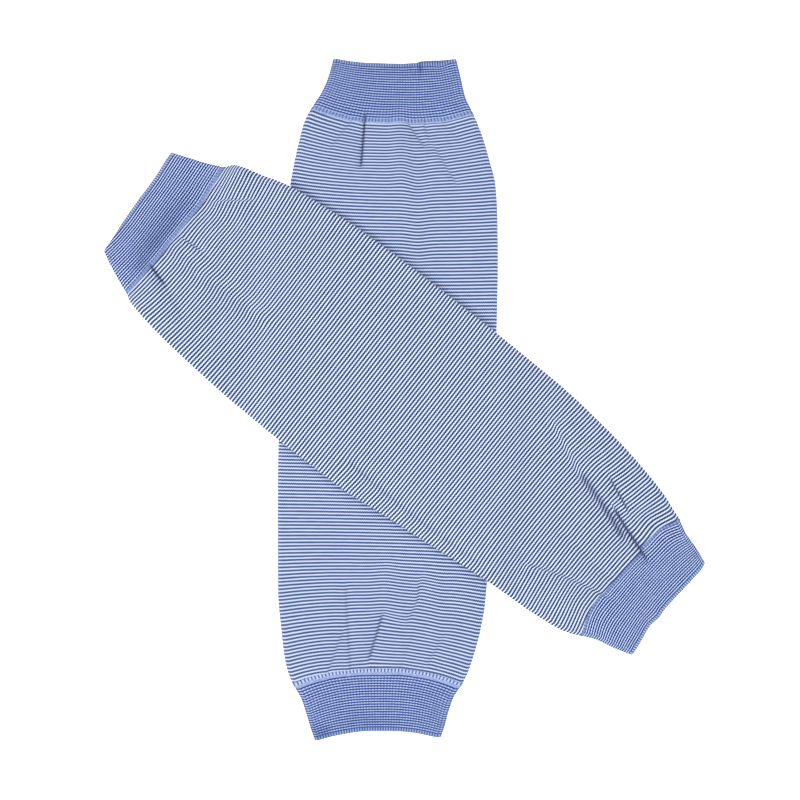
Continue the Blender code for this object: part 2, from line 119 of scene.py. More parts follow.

# The two sleeves. start and heading, in degrees, lay a sleeve's axis on the page. rows says how
# far along it each row of stitches lies, at the left fold, in the middle and at the right one, and
# stripes how much farther its stripe lies. seams are the rows of the two joins. cuff_pitches are
# the pairs of courses in the cuffs, and corner_drift is how far the first cuff's courses run out
# over its left corner. The cuffs and the body give the folds' distances from the axis, loft the
# top panel's height above the folds, rims the waves of the open edges, and tints the darker
# patches. Among them are a painted shadow on the lower sleeve and a painted highlight, with a
# negative amount, on the upper.
UNDER = dict(
    start=(-2.5, 189.2),
    heading=-91.44,
    rows=table(
        "count  left   middle right",
        (0.0, -0.8, 1.1, -1.1),
        (33.0, 27.9, 34.3, 28.5),
        (50.0, 47.4, 51.2, 46.0),
        (62.0, 60.4, 63.0, 58.8),
        (80.0, 79.6, 80.6, 77.6),
        (105.0, 105.4, 105.0, 102.6),
        (200.0, 201.2, 200.0, 198.8),
        (265.0, 265.9, 264.5, 264.3),
        (290.0, 291.8, 289.5, 290.4),
        (312.0, 315.0, 311.0, 313.4),
        (328.0, 332.7, 326.6, 330.9),
        (343.0, 349.7, 340.9, 347.4),
        (377.0, 380.2, 374.3, 377.0)),
    seams=(33.0, 343.0),
    cuff_pitches=(1.40, 1.47),
    corner_drift=0.0,
    stripes=table(
        "count  left   middle right",
        (33.0, 2.0, 3.2, 3.6),
        (40.0, 1.6, 2.6, 3.0),
        (50.0, 0.0, 1.4, 1.7),
        (60.0, -0.9, 0.4, 0.5),
        (80.0, -1.6, -0.5, -0.4),
        (100.0, -1.7, -0.4, -0.2),
        (140.0, -1.4, 0.1, 0.6),
        (220.0, -1.1, 0.0, 0.6),
        (260.0, -0.3, 0.2, 0.9),
        (280.0, 0.0, 0.0, 1.6),
        (300.0, 0.4, -0.8, 2.0),
        (320.0, 0.1, -0.7, 1.3),
        (343.0, -2.3, -1.0, -1.4)),
    cuff_first=table(
        "count  left  right",
        (0.0, 34.6, 33.7),
        (12.0, 37.0, 36.8),
        (23.0, 40.8, 39.4),
        (33.0, 46.6, 44.3)),
    body=table(
        "count  left  right",
        (33.0, 46.6, 44.3),
        (38.0, 49.5, 46.7),
        (46.0, 52.2, 50.1),
        (57.0, 54.7, 53.8),
        (70.0, 56.9, 57.6),
        (90.0, 58.9, 59.3),
        (130.0, 59.9, 60.3),
        (214.0, 60.1, 60.3),
        (280.0, 58.9, 58.8),
        (300.0, 58.0, 57.8),
        (315.0, 56.0, 55.5),
        (327.0, 54.2, 52.4),
        (336.0, 51.8, 49.2),
        (343.0, 48.4, 45.8)),
    cuff_last=table(
        "count  left  right",
        (343.0, 48.4, 45.8),
        (350.0, 43.9, 41.4),
        (360.0, 40.6, 38.5),
        (369.0, 38.0, 36.7),
        (377.0, 35.4, 34.6)),
    loft=table(
        "along  height",
        (0.0, 0.5),
        (30.0, 1.7),
        (50.0, 2.8),
        (74.0, 1.7),
        (104.0, 0.9),
        (200.0, 0.8),
        (276.0, 1.0),
        (310.0, 2.3),
        (334.0, 2.7),
        (350.0, 1.5),
        (378.0, 0.5)),
    folds=table(
        FOLD_COLUMNS,
        (31.5, -16.2, 57.2, -17.7, 0.0, 3.6, -1.7, 0.0, -0.5, 1.6, 0.5, 13.0, 1.0, 0.7),
        (34.0, -24.0, 48.0, -34.0, 0.0, 3.6, -0.9, 0.0, -0.7, 0.5, 0.8, 5.0, 0.25, 0.7),
        (30.0, 3.6, 66.0, 5.2, 0.0, 5.4, 1.0, -0.7, 0.0, 0.0, 1.0, 5.0, 0.0, 0.7),
        (35.0, 10.0, 66.0, 15.0, 0.0, 4.6, -0.8, 0.1, 0.0, 0.0, 1.0, 5.0, 0.0, 0.7),
        (36.0, 8.5, 46.0, 16.0, 0.0, 3.0, -0.8, 0.0, 0.8, 0.4, 0.6, 4.0, 0.4, 0.7),
        (35.0, 16.8, 42.5, 19.2, 0.0, 3.0, -0.5, 0.0, 0.6, 0.4, 0.6, 3.0, 0.25, 0.7),
        (49.0, 23.8, 65.0, 34.0, 0.0, 3.4, -1.0, 0.0, 1.0, 0.3, 0.8, 7.0, 0.3, 0.7),
        (34.0, 28.0, 44.0, 36.0, 0.0, 5.0, -0.9, 0.4, 0.4, 0.4, 2.4, 5.0, 0.1, 0.7),
        (60.0, 14.0, 106.0, 15.0, 0.0, 6.0, -0.6, 0.8, 0.0, 0.0, 1.0, 5.0, 0.0, 0.7),
        (295.8, -20.2, 337.6, -16.9, 0.0, 4.4, -1.0, 0.4, -0.5, 0.4, 1.4, 6.0, 0.3, 0.7),
        (320.0, -22.0, 340.7, -29.1, 0.0, 3.6, -0.8, 0.0, -0.7, 1.0, 0.8, 5.0, 0.25, 0.7),
        (286.0, 2.0, 309.0, 1.0, 0.0, 7.0, -0.3, -0.8, 0.0, 0.0, 1.0, 5.0, 0.0, 0.7),
        (312.4, -0.1, 332.8, -5.9, 0.0, 3.8, -1.7, 0.0, -0.8, -0.7, 0.6, 11.0, 0.7, 0.7),
        (288.0, 33.0, 316.0, 33.0, 0.0, 6.0, 0.3, 0.6, 0.0, 0.0, 1.0, 5.0, 0.0, 0.7),
        (292.0, 20.4, 308.9, 15.9, 1.4, 4.4, -0.9, 0.0, -1.4, 0.3, 1.2, 9.0, 0.25, 0.7),
        (320.0, 17.3, 340.0, 10.8, 0.0, 3.8, -0.8, 0.0, -0.1, -3.0, 0.9, 5.0, 0.1, 0.7),
        (322.0, 33.6, 334.0, 27.6, 0.0, 3.6, -0.8, 0.0, -0.8, 0.4, 0.9, 5.0, 0.2, 0.7)),
    rims=table(
        "across first first_back last",
        (-33.0, 0.4, 0.4, -0.1),
        (-20.0, 0.6, 0.6, 0.0),
        (-8.0, 0.4, 0.4, -0.4),
        (3.0, 0.4, 0.4, -0.2),
        (11.0, 0.0, 0.0, -0.1),
        (14.0, 0.1, -1.1, 0.0),
        (20.0, 0.2, -1.3, 0.0),
        (25.0, 0.8, -1.0, 0.1),
        (30.0, -0.4, -0.9, 0.0),
        (34.0, -0.9, -0.9, -0.3)),
    tints=table(
        "along across reach_along reach_across amount",
        (375.5, -32.0, 4.0, 6.0, 0.6),
        (370.0, -6.0, 5.0, 16.0, 0.25),
        (5.0, 4.0, 4.0, 26.0, 0.15),
        # Painted shadow: a dark notch at the first open edge, beside the underside's rim that shows
        # past the top panel.
        (3.5, 13.8, 4.0, 1.2, 0.8)))

OVER = dict(
    start=(-146.5, 111.0),
    heading=-37.55,
    rows=table(
        "count  left   middle right",
        (0.0, 1.5, -0.1, -2.1),
        (31.0, 26.5, 28.6, 26.4),
        (42.0, 36.2, 39.3, 33.6),
        (55.0, 50.2, 52.0, 46.2),
        (85.0, 81.6, 82.0, 76.8),
        (115.0, 114.1, 112.4, 109.2),
        (140.0, 139.5, 137.6, 135.2),
        (185.0, 185.2, 183.4, 181.0),
        (245.0, 247.0, 244.3, 243.7),
        (277.0, 279.2, 276.5, 278.9),
        (307.0, 310.2, 306.6, 312.0),
        (334.0, 338.0, 333.9, 341.0),
        (341.0, 344.3, 341.2, 348.4),
        (371.5, 373.5, 372.2, 375.2)),
    seams=(31.0, 341.0),
    cuff_pitches=(1.51, 1.33),
    corner_drift=4.5,
    stripes=table(
        "count  left   middle right",
        (31.0, 2.9, 4.8, 7.7),
        (60.0, 1.2, 4.0, 6.8),
        (80.0, 0.9, 3.2, 6.2),
        (100.0, 0.0, 1.9, 4.6),
        (120.0, -1.1, 0.8, 3.4),
        (160.0, -1.9, 0.5, 3.1),
        (200.0, -3.1, -0.1, 2.3),
        (240.0, -4.6, -1.2, 1.2),
        (260.0, -4.9, -2.1, -0.3),
        (280.0, -4.8, -2.6, -1.9),
        (300.0, -5.1, -2.9, -3.4),
        (320.0, -6.6, -3.2, -5.2),
        (341.0, -7.4, -3.7, -6.4)),
    cuff_first=table(
        "count  left  right",
        (0.0, 33.4, 32.9),
        (11.0, 37.7, 36.7),
        (21.0, 41.2, 40.3),
        (31.0, 44.6, 44.4)),
    body=table(
        "count  left  right",
        (31.0, 44.6, 44.4),
        (36.0, 47.3, 48.5),
        (43.0, 48.8, 50.9),
        (55.0, 51.2, 54.0),
        (70.0, 53.2, 58.1),
        (90.0, 55.1, 60.8),
        (115.0, 56.9, 63.1),
        (150.0, 57.7, 63.9),
        (185.0, 57.7, 63.9),
        (215.0, 55.1, 63.6),
        (245.0, 52.5, 62.8),
        (262.0, 50.8, 61.6),
        (277.0, 49.5, 59.7),
        (290.0, 48.8, 57.9),
        (305.0, 48.4, 55.0),
        (325.0, 46.6, 49.9),
        (335.0, 44.2, 46.0),
        (341.0, 41.5, 43.6)),
    cuff_last=table(
        "count  left  right",
        (341.0, 41.5, 43.6),
        (349.0, 38.0, 39.5),
        (360.0, 35.7, 36.5),
        (371.5, 32.5, 32.9)),
    loft=table(
        "along  height",
        (0.0, 0.6),
        (30.0, 1.7),
        (48.0, 2.6),
        (74.0, 1.8),
        (104.0, 0.9),
        (190.0, 0.8),
        (252.0, 1.2),
        (300.0, 2.6),
        (330.0, 2.9),
        (346.0, 1.6),
        (372.0, 0.6)),
    folds=table(
        FOLD_COLUMNS,
        (29.0, -24.4, 38.4, -27.1, 0.0, 3.6, -1.7, 0.0, 0.3, 2.0, 0.5, 9.0, 1.0, 0.8),
        (39.5, -27.6, 57.0, -35.8, 0.0, 4.0, -1.2, 0.0, 0.2, 0.4, 1.0, 7.0, 0.2, 0.75),
        (34.0, -7.5, 95.0, -8.5, -2.0, 5.0, -0.8, -1.0, 0.0, 0.5, 1.6, 6.0, 0.0, 0.7),
        (36.0, -0.9, 43.2, -0.5, 0.0, 3.0, -0.7, 0.0, 1.4, 0.6, 0.5, 3.0, 0.4, 0.7),
        (48.0, 0.0, 106.0, -16.0, 0.0, 6.0, -0.7, 0.0, 0.0, 0.5, 3.2, 14.0, 0.0, 0.7),
        (37.0, 29.0, 48.0, 37.5, 0.0, 3.6, -0.8, 0.0, 1.5, 0.5, 0.9, 7.0, 0.12, 0.7),
        (21.5, -27.0, 21.3, 22.0, 0.0, 5.4, -0.9, 0.0, 0.0, 0.0, 1.0, 5.0, 0.0, 0.7),
        (306.5, 37.2, 321.7, 30.6, 0.0, 3.4, -1.1, 0.0, -0.9, 0.5, 0.5, 8.0, 0.8, 0.7),
        (318.5, 25.1, 344.8, 15.6, 0.0, 4.0, -1.9, 0.0, -2.3, 0.5, 0.5, 9.0, 1.0, 1.2),
        (264.0, 41.0, 328.0, 18.0, -2.0, 5.0, -1.2, 0.0, -2.2, 0.4, 2.2, 9.0, 0.0, 2.0),
        (291.7, 29.4, 326.4, 17.3, 0.6, 4.0, -0.4, 0.0, 0.0, 0.5, 1.0, 5.0, 0.6, 2.0),
        (303.0, -2.5, 337.0, -7.0, 0.0, 4.6, -0.9, 0.0, 0.5, 0.5, 1.5, 6.0, 0.1, 0.7),
        (299.0, -27.2, 341.0, -16.2, 1.5, 4.6, -0.9, 0.0, 1.35, 0.9, 1.3, 9.0, 0.25, 0.7),
        (338.0, 33.0, 346.0, 33.0, 0.0, 9.0, 0.2, -2.2, 0.0, 0.0, 1.0, 5.0, 0.0, 0.7),
        (292.0, 39.0, 308.0, 37.0, 0.0, 7.0, 0.1, -1.0, 0.0, 0.0, 1.0, 5.0, 0.0, 0.7),
        (31.0, 20.0, 46.0, 22.0, 0.0, 8.0, 0.1, 0.9, 0.0, 0.0, 1.0, 5.0, 0.0, 0.7),
        (334.0, -27.0, 345.0, -28.0, 0.0, 10.0, 0.2, -1.5, 0.0, 0.0, 1.0, 5.0, 0.0, 0.7),
        (184.0, -43.5, 272.0, -44.0, -1.5, 4.0, -0.7, 0.0, -1.2, 1.0, 2.5, 20.0, 0.35, 0.9),
        (240.0, -24.0, 252.0, 26.0, 0.0, 9.0, -0.5, 0.0, 0.0, 0.0, 1.0, 5.0, 0.0, 0.7)),
    rims=table(
        "across first first_back last",
        (-33.0, 0.4, 0.4, -0.2),
        (-24.0, 0.4, 0.4, -0.1),
        (-14.0, -0.1, -0.1, -0.8),
        (-6.0, 0.0, 0.0, 0.4),
        (-2.0, 0.0, 0.0, 0.0),
        (12.0, 0.6, 0.6, 0.6),
        (18.0, 0.7, 0.7, 0.7),
        (27.0, 0.4, 0.4, 0.3),
        (33.0, 0.4, 0.4, -1.0)),
    tints=table(
        "along across reach_along reach_across amount",
        (21.5, -14.0, 6.5, 14.0, 0.55),
        (22.0, 9.0, 6.5, 14.0, 0.42),
        (24.0, -27.0, 3.5, 5.0, 0.3),
        # Painted highlight: a paler patch beside the left crease at the first seam.
        (28.5, -19.0, 2.0, 3.0, -0.4),
        (13.0, 0.0, 5.0, 22.0, 0.1)))


def smooth(x, y, at):
    """A curve through the points (x, y) that turns softly and never overshoots them."""
    at = np.clip(at, x[0], x[-1])
    step = np.diff(x)
    rise = np.diff(y) / step
    slope = np.zeros_like(y)
    same = rise[:-1] * rise[1:] > 0.0
    mean = 2.0 * rise[:-1] * rise[1:] / np.where(same, rise[:-1] + rise[1:], 1.0)
    slope[1:-1] = np.where(same, mean, 0.0)
    slope[0] = rise[0]
    slope[-1] = rise[-1]
    cell = np.clip(np.searchsorted(x, at, side="right") - 1, 0, len(step) - 1)
    t = (at - x[cell]) / step[cell]
    start = (1.0 + 2.0 * t) * (1.0 - t) ** 2 * y[cell]
    start = start + t * (1.0 - t) ** 2 * step[cell] * slope[cell]
    end = t * t * (3.0 - 2.0 * t) * y[cell + 1]
    end = end + t * t * (t - 1.0) * step[cell] * slope[cell + 1]
    return start + end


def ease(t):
    """0 to 1, level at both ends."""
    t = np.clip(t, 0.0, 1.0)
    return t * t * (3.0 - 2.0 * t)


def on_fold(fold, along, across):
    """How far a point lies beside a fold's line, and past its ends."""
    dx, dy = fold["a1"] - fold["a0"], fold["c1"] - fold["c0"]
    length = math.hypot(dx, dy)
    travel = ((along - fold["a0"]) * dx + (across - fold["c0"]) * dy) / length
    aside = ((across - fold["c0"]) * dx - (along - fold["a0"]) * dy) / length
    part = np.clip(travel / length, 0.0, 1.0)
    aside = aside - fold["bend"] * 4.0 * part * (1.0 - part)
    beyond = np.maximum(np.maximum(-travel, travel - length), 0.0)
    return aside, beyond


def fold_effects(sleeve, along, across, under):
    """The folds' height, their shift of the rows along the sleeve, and their lines' painted shade.

    The underside has the same folds, mirrored and shallower.
    """
    height = np.zeros(np.broadcast(along, across).shape)
    shift = np.zeros_like(height)
    dark = np.zeros_like(height)
    across = np.where(under, -across, across)
    strength = np.where(under, UNDER_SHARE, 1.0)
    folds = sleeve["folds"]
    for i in range(len(folds["a0"])):
        fold = {name: folds[name][i] for name in folds}
        aside, beyond = on_fold(fold, along, across)
        end = np.exp(-(beyond / (FOLD_END * fold["width"])) ** 2)
        bell = np.exp(-(aside / fold["width"]) ** 2) * end
        height += fold["height"] * bell
        side = 0.5 + 0.5 * np.tanh(aside / fold["edge"])
        shift += fold["bump"] * bell
        shift += fold["step"] * (side - fold["low"]) * np.exp(-np.abs(aside) / fold["reach"]) * end
        line = np.exp(-(aside / fold["line"]) ** 2) * np.exp(-(beyond / LINE_END) ** 2)
        # Painted shade along the fold's line, which is also cut in as a shallow groove.
        dark = np.maximum(dark, fold["dark"] * line)
        height -= LINE_DEPTH * fold["dark"] * line
    return height * strength, shift * strength, dark * strength


def on_page(sleeve, along, across):
    """A point of the sleeve in the shared frame."""
    turn = math.radians(sleeve["heading"])
    x = sleeve["start"][0] - LAYOUT_CENTRE[0] + along * math.cos(turn) - across * math.sin(turn)
    y = sleeve["start"][1] - LAYOUT_CENTRE[1] + along * math.sin(turn) + across * math.cos(turn)
    return x, y


def in_sleeve(sleeve, x, y):
    """A point of the shared frame in the sleeve's own along and across."""
    turn = math.radians(sleeve["heading"])
    dx = x + LAYOUT_CENTRE[0] - sleeve["start"][0]
    dy = y + LAYOUT_CENTRE[1] - sleeve["start"][1]
    return dx * math.cos(turn) + dy * math.sin(turn), dy * math.cos(turn) - dx * math.sin(turn)


def at_row(lines, count):
    """The left, middle and right values of a table for a row of stitches."""
    return [smooth(lines["count"], lines[side], count) for side in ("left", "middle", "right")]


def row_line(sleeve, count, share):
    """How far along the sleeve a row of stitches lies, share running from -1 to 1 across it."""
    left, middle, right = at_row(sleeve["rows"], count)
    tilt = 0.5 * (right - left) * share
    bow = (0.5 * (left + right) - middle) * np.abs(share) ** BOW_POWER
    return middle + tilt + bow


def edges(outline, count):
    """The two folds' distances from the axis where a row of stitches reaches them."""
    left = smooth(outline["count"], outline["left"], count)
    right = smooth(outline["count"], outline["right"], count)
    return -left, right


def loft(sleeve, along, share):
    """How far the top panel stands above the height of the side folds."""
    height = smooth(sleeve["loft"]["along"], sleeve["loft"]["height"], along)
    return height * (1.0 - np.clip(np.abs(share), 0.0, 1.0) ** LOFT_POWER)


def rest_height(sleeve, x, y):
    """How high the sleeve's underside lies: on the surface, or on the lower sleeve."""
    if sleeve is UNDER:
        return np.zeros_like(x)
    along, across = in_sleeve(UNDER, x, y)
    low, high = edges(UNDER["body"], along)
    height = 2.0 * FOLD_RISE + loft(UNDER, along, np.zeros_like(along))
    past = np.maximum(across - high, low - across)
    return (height + REST_GAP) * (1.0 - ease((past - DRAPE_FLAT) / (DRAPE_REACH - DRAPE_FLAT)))


def rim_shift(sleeve, count, across, under):
    """The small waves of the two open edges, which fade out within a cuff."""
    rims = sleeve["rims"]
    front = smooth(rims["across"], rims["first"], across)
    back = smooth(rims["across"], rims["first_back"], across)
    last = smooth(rims["across"], rims["last"], across)
    from_last = sleeve["rows"]["count"][-1] - count
    return (np.where(under, back, front) * np.exp(-(count / RIM_REACH) ** 2)
            + last * np.exp(-(from_last / RIM_REACH) ** 2))


def way_across(turn):
    """-1 to 1 from the left fold to the right one, over the top or underneath."""
    return np.where(turn > 0.5, 3.0 - 4.0 * turn, 4.0 * turn - 1.0)


def skin(sleeve, outline, count, turn, inset, rib=0.0, room=0.0):
    """Points of a tube's skin, and how much painted shade of the creases lies there.

    turn runs from 0 to 1 round the tube: over the top from the left fold to the right one, and
    back along the underside. inset is the depth inside the outer skin, rib the relief outwards
    from it, and room how far the underside is lifted for ribs to stand below it.
    """
    count, turn = np.broadcast_arrays(count, turn)
    under = turn > 0.5
    way = way_across(turn)
    low, high = edges(outline, count)
    centre = 0.5 * (low + high)
    half = 0.5 * (high - low)
    flat = half - FOLD_REACH
    arc = way * (flat + QUARTER_ARC)
    over = np.clip(np.abs(arc) - flat, 0.0, QUARTER_ARC)
    lean = 0.5 * math.pi * (1.0 - over / QUARTER_ARC)
    side = np.sign(arc)
    on_side = over > 0.0
    out = (FOLD_REACH - inset + rib) * np.cos(lean)
    across = centre + np.where(on_side, side * (flat + out), arc)
    share = np.clip(arc / flat, -1.0, 1.0)
    nominal = row_line(sleeve, count, share)
    height, shift, dark = fold_effects(sleeve, nominal, across, under)
    taper = 1.0 - np.abs(share) ** LOFT_POWER
    shift = shift * (1.0 - np.abs(share) ** SHIFT_POWER)
    along = nominal + shift + rim_shift(sleeve, count, across, under)
    x, y = on_page(sleeve, along, across)
    base = rest_height(sleeve, x, y)
    raised = loft(sleeve, along, share * flat / half) + height * taper
    spare = raised + 2.0 * (FOLD_RISE - WALL) - LEAST_GAP - room
    raised = raised + 0.5 * (np.hypot(spare, DIP_SOFTNESS) - spare) * taper
    top = base + 2.0 * FOLD_RISE + raised - inset + rib
    dent = np.clip(-height, 0.0, DEEPEST_DENT) * taper
    bottom = base + inset + room - rib + dent
    fold = base + FOLD_RISE + np.where(under, -1.0, 1.0) * (FOLD_RISE - inset + rib) * np.sin(lean)
    fold = fold + np.where(under, room * np.sin(lean), 0.0)
    z = np.where(on_side, fold, np.where(under, bottom, top))
    return np.stack([x, y, z], -1), dark * taper


def bridge(first, second, first_turn, second_turn):
    """Triangles between two closed rings of points, matched by their shares of a turn."""
    faces = []
    i, j = 0, 0
    while i < len(first) or j < len(second):
        a, b = first[i % len(first)], second[j % len(second)]
        next_first = first_turn[i + 1] if i + 1 < len(first) else 1.0 + first_turn[0]
        next_second = second_turn[j + 1] if j + 1 < len(second) else 1.0 + second_turn[0]
        if j >= len(second) or (i < len(first) and next_first <= next_second):
            faces.append((a, first[(i + 1) % len(first)], b))
            i += 1
        else:
            faces.append((a, second[(j + 1) % len(second)], b))
            j += 1
    return faces


def make_mesh(name, points, quads, triangles, knit_uv, values, material):
    """A mesh of quads and triangles that index points.

    knit_uv is the column and row of stitches at each corner, and values are numbers for each point.
    """
    mesh = bpy.data.meshes.new(name)
    quads = np.asarray(quads, np.int32).reshape(-1, 4)
    triangles = np.asarray(triangles, np.int32).reshape(-1, 3)
    mesh.vertices.add(len(points))
    mesh.vertices.foreach_set("co", (np.asarray(points) * MM).astype(np.float32).ravel())
    corners = np.concatenate([quads.ravel(), triangles.ravel()]).astype(np.int32)
    mesh.loops.add(len(corners))
    mesh.loops.foreach_set("vertex_index", corners)
    sizes = np.concatenate([np.full(len(quads), 4), np.full(len(triangles), 3)])
    starts = np.concatenate([[0], np.cumsum(sizes)[:-1]]).astype(np.int32)
    mesh.polygons.add(len(sizes))
    mesh.polygons.foreach_set("loop_start", starts)
    mesh.update(calc_edges=True)
    layer = mesh.uv_layers.new(name="Knit")
    layer.data.foreach_set("uv", np.asarray(knit_uv, np.float32).ravel())
    for key, value in values.items():
        attribute = mesh.attributes.new(key, "FLOAT", "POINT")
        attribute.data.foreach_set("value", np.asarray(value, np.float32).ravel())
    mesh.materials.append(material)
    mesh.validate()
    mesh.shade_smooth()
    piece = bpy.data.objects.new(name, mesh)
    bpy.context.scene.collection.objects.link(piece)
    return piece


def patch_and_painted_light_reach(sleeve, points):
    """How far the darker patches, a painted shadow and a painted highlight reach each point."""
    along, across = in_sleeve(sleeve, points[..., 0], points[..., 1])
    total = np.zeros_like(along)
    tints = sleeve["tints"]
    for i in range(len(tints["along"])):
        away = ((along - tints["along"][i]) / tints["reach_along"][i]) ** 2
        away = away + ((across - tints["across"][i]) / tints["reach_across"][i]) ** 2
        total += tints["amount"][i] * np.exp(-away)
    return np.clip(total, -1.0, 1.0)


def shell(name, sleeve, outline, outer_counts, outer_turns, inner_counts, inner_turns, to_uv,
          material, rib=None, room=None, insets=(0.0, WALL)):
    """A knitted tube as a closed thin shell: an outer skin, an inner skin and two raw edges.

    counts and turns are the places of a skin's points, and insets the depths of the two skins.
    to_uv(turn, count) is the column and row of stitches there, rib(count, turn) the outer skin's
    relief, and room(count) the lift of the underside.
    """
    parts = []
    offset = 0
    quads, quad_uv = [], []
    rings = []
    values = {"crease": [], "patch_and_painted_light": []}
    for counts, turns, inset, outward in (
            (outer_counts, outer_turns, insets[0], True),
            (inner_counts, inner_turns, insets[1], False)):
        grid_count, grid_turn = np.meshgrid(counts, turns, indexing="ij")
        relief = rib(grid_count, grid_turn) if rib and outward else 0.0
        lift = room(grid_count) if room else 0.0
        points, dark = skin(sleeve, outline, grid_count, grid_turn, inset, relief, lift)
        rows, columns = grid_count.shape
        index = offset + np.arange(rows * columns).reshape(rows, columns)
        offset += rows * columns
        parts.append(points.reshape(-1, 3))
        # The painted shade of the creases at each point.
        values["crease"].append(dark.ravel())
        # The darker patches, the painted shadow and the painted highlight at each point.
        values["patch_and_painted_light"].append(patch_and_painted_light_reach(sleeve, points).ravel())
        right = np.roll(index, -1, axis=1)
        block = np.stack([index[:-1], index[1:], right[1:], right[:-1]], -1).reshape(-1, 4)
        turn_right = np.concatenate([turns[1:], [1.0 + turns[0]]])
        uv_turn = np.stack([turns, turns, turn_right, turn_right], -1)
        uv_turn = np.broadcast_to(uv_turn, (rows - 1, columns, 4))
        here, there = counts[:-1, None], counts[1:, None]
        uv_count = np.stack(np.broadcast_arrays(here, there, there, here), -1)
        uv_count = np.broadcast_to(uv_count, (rows - 1, columns, 4))
        block_uv = np.stack(to_uv(uv_turn, uv_count), -1).reshape(-1, 4, 2)
        if not outward:
            block, block_uv = block[:, ::-1], block_uv[:, ::-1]
        quads.append(block)
        quad_uv.append(block_uv)
        rings.append((index[0], index[-1]))
    (outer_first, outer_last), (inner_first, inner_last) = rings
    first = bridge(outer_first, inner_first, outer_turns, inner_turns)
    last = bridge(outer_last, inner_last, outer_turns, inner_turns)
    caps_count = [outer_counts[0]] * len(first) + [outer_counts[-1]] * len(last)
    caps = first + [face[::-1] for face in last]
    all_turns = np.concatenate(
        [np.tile(outer_turns, len(outer_counts)), np.tile(inner_turns, len(inner_counts))])
    cap_turn = all_turns[np.array(caps)]
    spread = cap_turn.max(axis=1) - cap_turn.min(axis=1) > 0.5
    cap_turn = np.where(spread[:, None] & (cap_turn < 0.5), cap_turn + 1.0, cap_turn)
    cap_count = np.broadcast_to(np.array(caps_count)[:, None], cap_turn.shape)
    cap_uv = np.stack(to_uv(cap_turn, cap_count), -1)
    cap_uv[..., 1] = cap_uv[..., 1].min()     # a raw edge shows one row
    uv = np.concatenate([np.concatenate(quad_uv).reshape(-1, 2), cap_uv.reshape(-1, 2)])
    values = {key: np.concatenate(value) for key, value in values.items()}
    return make_mesh(name, np.concatenate(parts), np.concatenate(quads), caps, uv, values, material)


def turns_of(top, under):
    """Places round a tube, as shares of a turn: finer over the top than underneath."""
    over = np.arange(top) / top * 0.5
    below = 0.5 + np.arange(under) / under * 0.5
    return np.concatenate([over, below])


RIBBED_TURNS = turns_of(RIB_COUNT * RIB_POINTS // 2, RIB_COUNT * RIB_POINTS // 2)
LINING_TURNS = turns_of(RIB_COUNT, RIB_COUNT)


def linear(red, green, blue):
    """A screen colour from 0 to 255 as linear light."""
    parts = [c / 255.0 for c in (red, green, blue)]
    return (*[p / 12.92 if p <= 0.04045 else ((p + 0.055) / 1.055) ** 2.4 for p in parts], 1.0)


# The yarn's colours, and the painted shade of the creases.
LOWER_BLUE = linear(66, 83, 133)
UPPER_BLUE = linear(43, 58, 102)
WHITE_YARN = linear(214, 228, 255)
LOWER_CUFF_BLUE = linear(30, 58, 128)
UPPER_CUFF_BLUE = linear(18, 43, 112)
CUFF_WHITE = linear(200, 219, 255)
LINK_WHITE = linear(180, 195, 228)
LINK_BLUE = linear(62, 84, 144)
# The painted shade that darkens the creases' lines.
CREASE_PAINTED_SHADE = linear(22, 33, 82)

# How yarn takes the light.
YARN_ROUGHNESS = 0.92
YARN_SPECULAR = 0.18
YARN_SHEEN = 0.12
SHEEN_ROUGHNESS = 0.5
FIBRE_SHADE = 0.12         # from the darkest fibre to the brightest, as a share of the colour
FIBRE_FINENESS = 6.0       # along a column of stitches

# The stitches' relief in the light: its depths in metres, and the shares of a depth.
BUMP_STRENGTH = 0.9
JERSEY_BUMP = 0.00022
RIB_BUMP = 0.0002
LINK_BUMP = 0.0002
LEG_RELIEF = 0.55
COURSE_RELIEF = 0.45
RIB_COURSE_RELIEF = 0.6
FIBRE_RELIEF = 0.25

# How the colours mix.
STITCH_PAINTED_SHADE = 0.16        # painted shade: how much darker the jersey is between its stitches
GROOVE_PAINTED_SHADE = 0.10        # and a cuff in the grooves between its ribs
JERSEY_PATCH = 0.6         # how much white yarn a dark patch takes from the jersey, and the painted highlight gives it
RIB_PATCH = 0.7            # and from a cuff
JERSEY_CREASE_SHADE = 0.9        # how much painted shade the jersey takes in the middle of a crease's line
RIB_CREASE_SHADE = 0.8           # and a cuff or the linking
RIB_SPECKS = 0.76          # how much the white of a cuff varies from stitch to stitch
LINK_SPECKS = 0.7          # and the blue of the linking
EDGE_WHITE = 0.2           # how white the open edge's grooves are
EDGE_CREST_WHITE = 0.45    # and how much whiter its crests
TICK_BLUR = 0.25           # how softly the linking's ticks end, in millimetres


